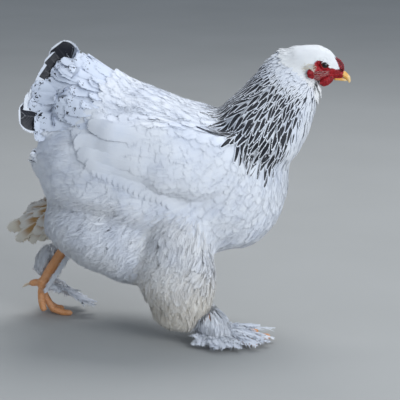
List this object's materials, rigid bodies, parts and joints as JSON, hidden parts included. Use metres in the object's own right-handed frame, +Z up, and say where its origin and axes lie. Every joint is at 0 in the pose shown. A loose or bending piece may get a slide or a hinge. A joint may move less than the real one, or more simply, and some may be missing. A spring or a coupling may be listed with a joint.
{
  "type": "feather-footed hen display model",
  "caption": "Life-size still model of a white feather-footed hen with a dark-striped neck, walking with her right foot forward.",
  "frame": {"origin": "middle of the hen's own box, on the floor", "axes": "+X the way she faces, +Y her left, +Z up"},
  "size_m": [0.5036, 0.2444, 0.4222],
  "materials": {
    "white_feathers": "soft matte feathers",
    "striped_feathers": "white-edged dark feathers",
    "tail_feathers": "white and dark feathers",
    "cream_feathers": "soft matte fluff",
    "comb_skin": "fine-grained waxy skin",
    "lobe_skin": "fine-grained waxy skin",
    "beak": "satin horn",
    "leg_skin": "scaled skin",
    "claw": "satin horn",
    "eye": "wet gloss"
  },
  "bodies": {
    "root": {"trunk": "white_feathers", "neck": "striped_feathers", "tail": "tail_feathers", "head": "white_feathers", "beak_upper": "beak", "beak_lower": "beak", "comb": "comb_skin", "eye_left": "eye", "eye_right": "eye", "wattle_left": "comb_skin", "wattle_right": "comb_skin", "ear_lobe_left": "lobe_skin", "ear_lobe_right": "lobe_skin", "wing_left": "white_feathers", "wing_right": "white_feathers", "thigh_left": "cream_feathers", "thigh_right": "cream_feathers", "hock_feathers_left": "cream_feathers", "shank_left": "leg_skin", "shank_right": "leg_skin", "shank_feathers_left": "white_feathers", "shank_feathers_right": "white_feathers", "foot_left": "leg_skin", "foot_right": "leg_skin", "foot_feathers_left": "white_feathers", "foot_feathers_right": "white_feathers", "claw_left_back": "claw", "claw_left_inner": "claw", "claw_left_middle": "claw", "claw_left_outer": "claw", "claw_right_back": "claw", "claw_right_inner": "claw", "claw_right_middle": "claw", "claw_right_outer": "claw"}
  },
  "joints": []
}
